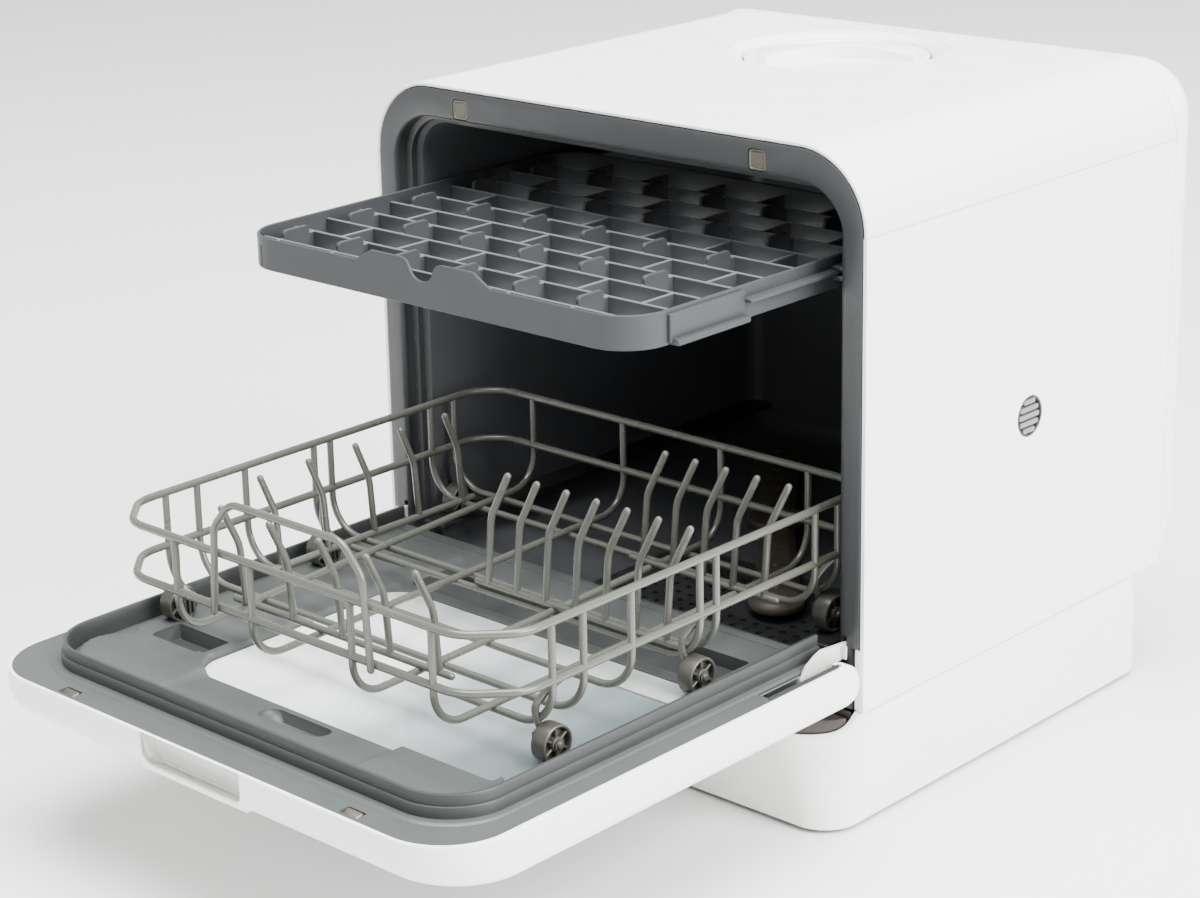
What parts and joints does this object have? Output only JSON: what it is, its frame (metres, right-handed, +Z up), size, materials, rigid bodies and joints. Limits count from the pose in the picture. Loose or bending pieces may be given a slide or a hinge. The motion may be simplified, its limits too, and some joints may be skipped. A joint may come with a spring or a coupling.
{
  "type": "countertop dishwasher",
  "caption": "White countertop dishwasher with its door lowered, a wheeled wire dish basket rolled out onto the door, a slatted cutlery tray drawn out above it and a filler cap on top",
  "frame": {"origin": "centre of the footprint with the door open, on the table under the feet", "axes": "+X to the user's right seen from the front, +Y from the open door towards the back, +Z up"},
  "size_m": [0.42, 0.7468, 0.435],
  "materials": {
    "white_plastic": "smooth glossy moulded plastic",
    "strip_black": "gloss black touch strip",
    "dark_plastic": "fine matte moulded plastic",
    "rubber_black": "matte rubber",
    "circuit_green": "circuit board",
    "frame_grey": "fine matte moulded plastic",
    "liner_grey": "fine matte moulded plastic",
    "tray_grey": "satin moulded plastic",
    "tub_black": "satin moulded plastic",
    "arm_beige": "satin moulded plastic",
    "steel": "brushed",
    "zinc_plate": "dull plated",
    "hinge_white": "satin painted",
    "glass": "clear",
    "coated_wire": "nylon coated wire, satin",
    "wheel_grey": "matte moulded plastic",
    "tube_clear": "flexible tube"
  },
  "bodies": {
    "housing": {"base_shell": "white_plastic", "base_pan": "dark_plastic", "feet": "rubber_black", "control_strip": "strip_black", "control_board": "circuit_green", "top_shell": "white_plastic", "side_panel_left": "white_plastic", "side_panel_right": "white_plastic", "side_vent_grille": "frame_grey", "rear_cover": "white_plastic", "rear_screws": "steel", "front_frame": "frame_grey", "frame_catch_plates": "zinc_plate", "tub": "tub_black", "tub_gasket": "rubber_black", "tub_rails": "tub_black", "sump": "tub_black", "filter_mesh": "tub_black", "spray_feed": "tub_black", "wash_pump": "dark_plastic", "drain_pump": "dark_plastic", "water_heater": "steel", "fan_duct": "dark_plastic", "fan_housing": "dark_plastic", "fill_funnel": "white_plastic", "fill_pipe": "tube_clear", "hose_connectors": "white_plastic", "power_inlet": "dark_plastic", "hinge_brackets": "hinge_white", "hinge_pins": "steel"},
    "door": {"door_outer_panel": "white_plastic", "door_liner": "liner_grey", "door_gasket": "rubber_black", "door_window": "glass", "door_hinge_arms": "hinge_white", "door_catches": "zinc_plate"},
    "basket": {"basket_floor": "coated_wire", "basket_side_left": "coated_wire", "basket_side_right": "coated_wire", "basket_front_wires": "coated_wire", "basket_back_wires": "coated_wire", "basket_handle": "coated_wire", "tine_row_front": "coated_wire", "tine_row_middle": "coated_wire", "tine_row_back": "coated_wire", "tine_row_left": "coated_wire", "wheel_clips": "wheel_grey"},
    "tray": {"cutlery_tray": "tray_grey"},
    "spray_rotor": {"spray_arm": "arm_beige"},
    "filter_insert": {"filter_cup": "arm_beige"},
    "fan_wheel": {"fan_rotor": "dark_plastic"},
    "filler_plug": {"cap_plug": "white_plastic", "cap_seal": "rubber_black"},
    "filler_cap": {"fill_cap": "white_plastic"},
    "roller_left_front": {"wheel_left_front": "wheel_grey"},
    "roller_left_middle": {"wheel_left_middle": "wheel_grey"},
    "roller_left_back": {"wheel_left_back": "wheel_grey"},
    "roller_right_front": {"wheel_right_front": "wheel_grey"},
    "roller_right_middle": {"wheel_right_middle": "wheel_grey"},
    "roller_right_back": {"wheel_right_back": "wheel_grey"}
  },
  "joints": [
    {"name": "door_hinge", "type": "hinge", "parent": "housing", "child": "door", "pos_m": [0, -0.0345, 0.095], "axis": [-1, 0, 0], "range_deg": [0, 0.08]},
    {"name": "basket_slide", "type": "slide", "parent": "housing", "child": "basket", "axis": [0, 1, 0], "range_m": [0, 0.305]},
    {"name": "tray_slide", "type": "slide", "parent": "housing", "child": "tray", "axis": [0, 1, 0], "range_m": [0, 0.18]},
    {"name": "spray_arm_spin", "type": "hinge", "parent": "housing", "child": "spray_rotor", "pos_m": [0, 0.1655, 0.106], "axis": [0, 0, 1], "continuous": true},
    {"name": "filter_turn", "type": "hinge", "parent": "housing", "child": "filter_insert", "pos_m": [0.08, 0.0655, 0.09], "axis": [0, 0, 1], "range_deg": [0, 90]},
    {"name": "fan_spin", "type": "hinge", "parent": "housing", "child": "fan_wheel", "pos_m": [0.195, 0.1635, 0.23], "axis": [1, 0, 0], "continuous": true},
    {"name": "filler_lift", "type": "slide", "parent": "housing", "child": "filler_plug", "axis": [0, 0, 1], "range_m": [0, 0.03]},
    {"name": "filler_cap_turn", "type": "hinge", "parent": "filler_plug", "child": "filler_cap", "pos_m": [-0.008, 0.2415, 0.43], "axis": [0, 0, 1], "range_deg": [0, 90]},
    {"name": "wheel_left_front_spin", "type": "hinge", "parent": "basket", "child": "roller_left_front", "pos_m": [-0.166, -0.2455, 0.1293], "axis": [1, 0, 0], "range_deg": [-1460, 1]},
    {"name": "wheel_left_middle_spin", "type": "hinge", "parent": "basket", "child": "roller_left_middle", "pos_m": [-0.166, -0.1185, 0.1293], "axis": [1, 0, 0], "range_deg": [-1460, 1]},
    {"name": "wheel_left_back_spin", "type": "hinge", "parent": "basket", "child": "roller_left_back", "pos_m": [-0.166, 0.0115, 0.1293], "axis": [1, 0, 0], "range_deg": [-1460, 1]},
    {"name": "wheel_right_front_spin", "type": "hinge", "parent": "basket", "child": "roller_right_front", "pos_m": [0.166, -0.2455, 0.1293], "axis": [1, 0, 0], "range_deg": [-1460, 1]},
    {"name": "wheel_right_middle_spin", "type": "hinge", "parent": "basket", "child": "roller_right_middle", "pos_m": [0.166, -0.1185, 0.1293], "axis": [1, 0, 0], "range_deg": [-1460, 1]},
    {"name": "wheel_right_back_spin", "type": "hinge", "parent": "basket", "child": "roller_right_back", "pos_m": [0.166, 0.0115, 0.1293], "axis": [1, 0, 0], "range_deg": [-1460, 1]}
  ],
  "couplings": [
    {"joint": "wheel_left_front_spin", "follows": "basket_slide", "rad_per_m": -83.333},
    {"joint": "wheel_left_middle_spin", "follows": "basket_slide", "rad_per_m": -83.333},
    {"joint": "wheel_left_back_spin", "follows": "basket_slide", "rad_per_m": -83.333},
    {"joint": "wheel_right_front_spin", "follows": "basket_slide", "rad_per_m": -83.333},
    {"joint": "wheel_right_middle_spin", "follows": "basket_slide", "rad_per_m": -83.333},
    {"joint": "wheel_right_back_spin", "follows": "basket_slide", "rad_per_m": -83.333}
  ]
}
